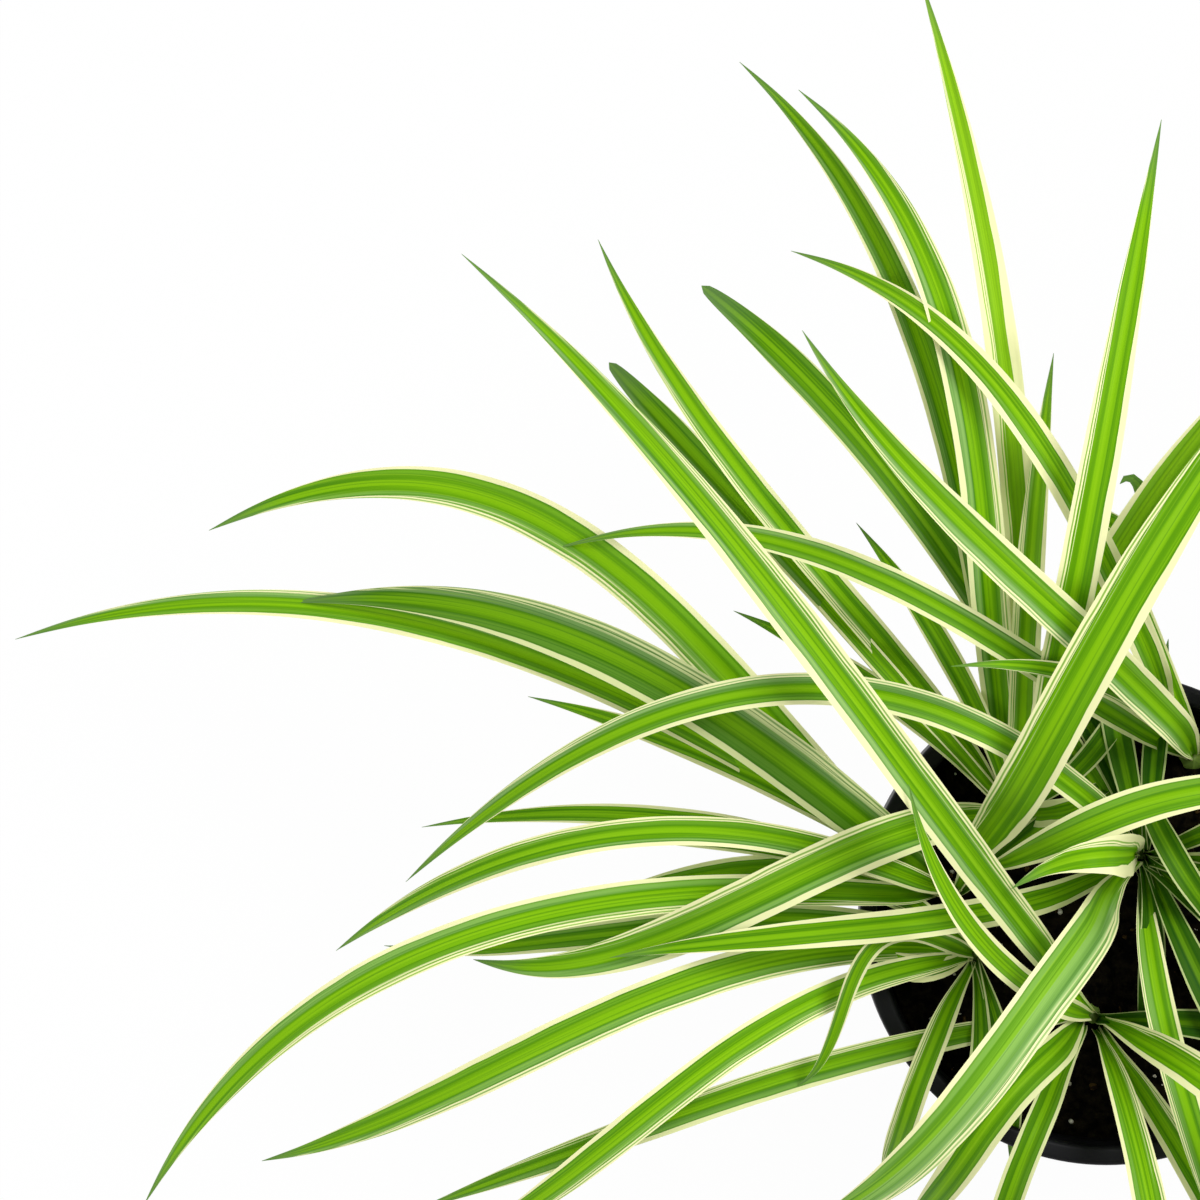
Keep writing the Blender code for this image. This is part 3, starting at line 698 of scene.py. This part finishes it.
# --- pot, soil and crowns -------------------------------------------------------------------------
def add_pot(material):
    """Pot with a turned-down rim, a step inside it and holes in its floor."""
    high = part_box("pot")[1]
    rim, top = high.x, high.z
    base, neck = rim * BASE_RADIUS / RIM_RADIUS, rim * NECK_RADIUS / RIM_RADIUS
    skirt = top - SKIRT * MM
    wall, floor, curl = WALL * MM, FLOOR * MM, RIM_CURL * MM
    inside = neck - wall
    groove = inside - 0.3 * MM

    def radius_at(height):
        return base + (neck - base) * height / skirt

    profile = [(0, 0), (base - 1.5 * MM, 0), (base - 0.4 * MM, 0.4 * MM), (base, 1.5 * MM)]
    for share in np.linspace(0.05, 1, 12):
        profile.append((radius_at(share * skirt), share * skirt))
    profile += [(rim - 0.6 * MM, skirt - 0.6 * MM), (rim - 0.1 * MM, skirt - 0.1 * MM)]
    profile += [(rim, skirt + 0.5 * MM), (rim - 0.1 * MM, top - 3 * MM)]
    for step in range(9):
        angle = math.radians(90 * step / 8)
        height = top - curl + curl * math.sin(angle)
        profile.append((rim - curl + curl * math.cos(angle), height))
    for step in range(9):
        angle = math.radians(90 + 90 * step / 8)
        height = top - curl + curl * math.sin(angle)
        profile.append((inside + curl + curl * math.cos(angle), height))
    profile += [(inside, top - 6 * MM), (groove, top - 6.4 * MM), (groove, skirt)]
    profile += [(radius_at(floor) - wall, floor), (0, floor)]
    vertices, faces = turned(profile, POT_SIDES)
    cut_drains(add_piece("pot_shell", vertices, faces, material, "pot"))


def cut_drains(pot):
    """Cut the ring of round holes in the pot's floor."""
    bm = bmesh.new()
    for hole in range(DRAIN_HOLES):
        angle = 2 * math.pi * (hole + 0.5) / DRAIN_HOLES + math.radians(DRAIN_TURN)
        place = Vector((math.cos(angle), math.sin(angle), 0)) * DRAIN_CIRCLE * MM
        radius = DRAIN_RADIUS * MM
        bmesh.ops.create_cone(bm, cap_ends=True, segments=DRAIN_SIDES, radius1=radius,
                              radius2=radius, depth=12 * MM, matrix=Matrix.Translation(place))
    mesh = bpy.data.meshes.new("drain_cutter")
    bm.to_mesh(mesh)
    bm.free()
    cutter = bpy.data.objects.new("drain_cutter", mesh)
    bpy.context.collection.objects.link(cutter)
    cut = pot.modifiers.new("drains", "BOOLEAN")
    cut.operation = "DIFFERENCE"
    cut.object = cutter
    bpy.context.view_layer.update()
    evaluated = pot.evaluated_get(bpy.context.evaluated_depsgraph_get())
    holed = bpy.data.meshes.new_from_object(evaluated)
    pot.modifiers.clear()
    pot.data = holed
    bpy.data.objects.remove(cutter)


def add_soil(material):
    """Crumbly soil surface."""
    low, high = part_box("soil")
    radius = high.x
    rng = random.Random("soil")
    grid = {}
    cell = 4 * MM
    for _ in range(CRUMBS):
        x, y = rng.uniform(-radius, radius), rng.uniform(-radius, radius)
        size = rng.uniform(*CRUMB_SIZES) * MM
        grid.setdefault((int(x // cell), int(y // cell)), []).append((x, y, size))

    def bumpy(point, angle):
        if point.z < high.z - CRUMB_DEPTH * MM or point.xy.length > radius * 0.995:
            return point
        rise = 0.0
        column, row = int(point.x // cell), int(point.y // cell)
        for i in (-1, 0, 1):
            for j in (-1, 0, 1):
                for x, y, size in grid.get((column + i, row + j), ()):
                    away = math.hypot(point.x - x, point.y - y)
                    if away < size:
                        rise = max(rise, math.sqrt(size * size - away * away))
        return point + UP * (CRUMB_RISE * rise - CRUMB_SINK * MM)

    mound = MOUND * MM
    profile = [(0, low.z), (radius * 0.8, low.z), (radius, high.z - mound)]
    for step in range(1, SOIL_RINGS):
        share = 1 - step / SOIL_RINGS
        profile.append((radius * share, high.z - mound * share ** 2))
    profile.append((0, high.z))
    vertices, faces = turned(profile, SOIL_SIDES, bumpy)
    add_piece("soil_bed", vertices, faces, material, "soil")


def add_grit(name, material, count, sizes, seed):
    """Lumps lying on the soil, all in one piece."""
    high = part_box("soil")[1]
    rng = random.Random(seed)
    bm = bmesh.new()
    for _ in range(count):
        radius = GRIT_AREA * high.x * math.sqrt(rng.random())
        angle = rng.uniform(0, 2 * math.pi)
        size = rng.uniform(*sizes) * MM
        made = bmesh.ops.create_icosphere(bm, subdivisions=2, radius=size)["verts"]
        stretch = Vector([rng.uniform(0.6, 1.3) for _ in range(3)])
        place = radius * math.cos(angle), radius * math.sin(angle), high.z - GRIT_SINK * MM
        centre = Vector(place)
        centre.z -= MOUND * MM * (radius / high.x) ** 2
        for vertex in made:
            vertex.co = centre + vertex.co * stretch * rng.uniform(0.86, 1.1)
    mesh = bpy.data.meshes.new(name)
    bm.to_mesh(mesh)
    bm.free()
    vertices = [v.co.copy() for v in mesh.vertices]
    faces = [tuple(p.vertices) for p in mesh.polygons]
    add_piece(name, vertices, faces, material)


def add_crown(node, material):
    """A ribbed clump of leaf sheaths."""
    low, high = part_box(node)
    middle = (low + high) / 2
    radius = CROWN_SHARE * (high.x - low.x) / 2
    foot, top = low.z, high.z - CROWN_DROP * MM
    profile = [(0, foot), (0.62 * radius, foot)]
    for share in np.linspace(0, 1, CROWN_RINGS):
        out = math.cos(share * math.pi / 2) ** 0.8
        profile.append((radius * out, foot + (top - foot) * (0.35 + 0.65 * share)))
    profile[-1] = (0, top)

    def ribbed(point, angle):
        fluting = abs(math.sin(FLUTES / 2 * angle))
        ribs = 1 - FLUTE_DEPTH * fluting * (point.z - foot) / (top - foot)
        return Vector((middle.x + point.x * ribs, middle.y + point.y * ribs, point.z))

    vertices, faces = turned(profile, CROWN_SIDES, ribbed)
    add_piece(f"{node}_sheaths", vertices, faces, material, node)


def add_curled_leaf(material):
    """A narrow leaf that rises behind the others and curls its tip round."""
    crown, heading, reach, radii, height = CURLED_LEAF
    axis = crown_axis(crown)
    angle = math.radians(heading)
    centre = axis + MM * reach * np.array((math.cos(angle), math.sin(angle)))
    entry = centre - MM * np.array((2 * radii[0], 0.4 * radii[1]))
    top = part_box(f"crown_{crown}")[1].z / MM - CROWN_CLEARANCE
    points = []
    for share in np.linspace(0.05, 1, 10):
        climb = top + (height - 2 - top) * share ** 0.6
        points.append((*(axis + share * (entry - axis)), MM * climb))
    turns = np.radians(np.linspace(*CURL_TURN, CURL_POINTS))
    for number, turn in enumerate(turns):
        plan = centre + MM * np.array((radii[0] * math.cos(turn), radii[1] * math.sin(turn)))
        arch = CURL_ARCH * math.sin(math.pi * number / (CURL_POINTS - 1))
        points.append((*plan, MM * (height - 1 + arch)))
    centres = np.array(points)
    stalk = np.append(np.full(8, 5.0), (4.4, 3.8))
    curl = np.append(np.linspace(3.6, 3.0, 8), (2.6, 2.1, 1.5, 0))
    widths = MM * np.concatenate([stalk, curl])
    sides = np.cross(np.gradient(centres, axis=0), (0, 0, 1))
    sides /= np.linalg.norm(sides, axis=1)[:, None]
    frames = fine_frames(*with_foot(centres, widths, sides, axis), BLUNT)
    blade("curled_leaf", frames, CURL_GUTTER, CURL_LOOK, material)


# --- stage ----------------------------------------------------------------------------------------
def seen_white(graph):
    """1 for the rays that should see a plain white surround."""
    path = graph.tree.nodes.new("ShaderNodeLightPath")
    seen = graph.math("MAXIMUM", path.outputs["Is Camera Ray"], path.outputs["Is Glossy Ray"])
    return graph.math("MAXIMUM", seen, path.outputs["Is Transmission Ray"])


def add_floor():
    """A pale floor that keeps a soft shadow and looks white."""
    mesh = bpy.data.meshes.new("floor")
    ways = (-1, -1), (1, -1), (1, 1), (-1, 1)
    corners = [(STAGE_SIZE * x, STAGE_SIZE * y, -STAGE_DROP) for x, y in ways]
    mesh.from_pydata(corners, [], [(0, 1, 2, 3)])
    g = Graph("floor_paper")
    g.finish(PAPER, 0.9)
    glow = g.tree.nodes.new("ShaderNodeEmission")
    blend = g.tree.nodes.new("ShaderNodeMixShader")
    g.feed(blend.inputs[0], g.times(seen_white(g), STAGE_WHITE))
    g.feed(blend.inputs[1], g.shader.outputs[0])
    g.feed(blend.inputs[2], glow.outputs[0])
    g.feed(g.tree.nodes["Material Output"].inputs[0], blend.outputs[0])
    mesh.materials.append(g.material)
    floor = bpy.data.objects.new("floor", mesh)
    bpy.context.collection.objects.link(floor)
    floor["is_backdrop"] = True


def add_world():
    """A surround that is seen white and lights the object more weakly."""
    world = bpy.data.worlds.new("studio")
    bpy.context.scene.world = world
    world.use_nodes = True
    tree = world.node_tree
    background = tree.nodes["Background"]
    background.inputs[0].default_value = (1, 1, 1, 1)
    path = tree.nodes.new("ShaderNodeLightPath")
    strength = tree.nodes.new("ShaderNodeMapRange")
    strength.inputs["To Min"].default_value = WORLD_LIGHT
    strength.inputs["To Max"].default_value = 1.0
    tree.links.new(path.outputs["Is Camera Ray"], strength.inputs["Value"])
    tree.links.new(strength.outputs["Result"], background.inputs[1])


def add_lamp(name, place, size, power):
    """A round soft lamp aimed at the plant."""
    light = bpy.data.lights.new(name, "AREA")
    light.shape = "DISK"
    light.size = size
    light.energy = power
    lamp = bpy.data.objects.new(name, light)
    lamp.location = place
    lamp.rotation_euler = (AIM - Vector(place)).to_track_quat("-Z", "Y").to_euler()
    bpy.context.collection.objects.link(lamp)


def add_camera():
    """Straight down, with +X to the right and +Y up in the picture."""
    low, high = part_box("pot")
    axis = (low + high) / 2
    camera = bpy.data.cameras.new("camera")
    camera.sensor_width = SENSOR
    camera.lens = SENSOR * (CAMERA_HEIGHT - high.z) / VIEW_WIDTH
    view = bpy.data.objects.new("camera", camera)
    view.location = (axis.x + CAMERA_OFFSET[0], axis.y + CAMERA_OFFSET[1], CAMERA_HEIGHT)
    bpy.context.collection.objects.link(view)
    bpy.context.scene.camera = view


def build():
    """Stage first, then the pot and the soil, and the leaves and crowns in order of name."""
    add_camera()
    add_floor()
    add_world()
    add_lamp("softbox", place=(0.8, 0.7, 1.9), size=0.8, power=25.0)
    add_lamp("fill", place=(-1.2, -0.4, 1.4), size=1.2, power=7.0)
    bpy.context.scene.view_settings.view_transform = "Standard"
    leaf = leaf_material()
    crown = crown_material()
    add_pot(pot_material())
    add_soil(grit_material("soil_mix", SOIL_DARK, SOIL_BROWN, 420.0, 0.85))
    add_grit("perlite", grit_material("perlite", PERLITE_SHADED, PERLITE_WHITE, 700.0, 0.8), *PERLITE)
    add_grit("bark_bits", grit_material("bark", BARK_DARK, BARK_BROWN, 500.0, 0.8), *BARK_BITS)
    for node in sorted(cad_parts):
        if node.startswith("leaf_"):
            add_leaf(node, leaf)
        elif node.startswith("crown_"):
            add_crown(node, crown)
    for number, values in enumerate(INNER_LEAVES, start=1):
        add_inner_leaf(number, values, leaf)
    add_curled_leaf(leaf)


build()
VISUAL_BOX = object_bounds()
boxes = [[list(corner) for corner in box] for box in (CAD_BOX, VISUAL_BOX)]
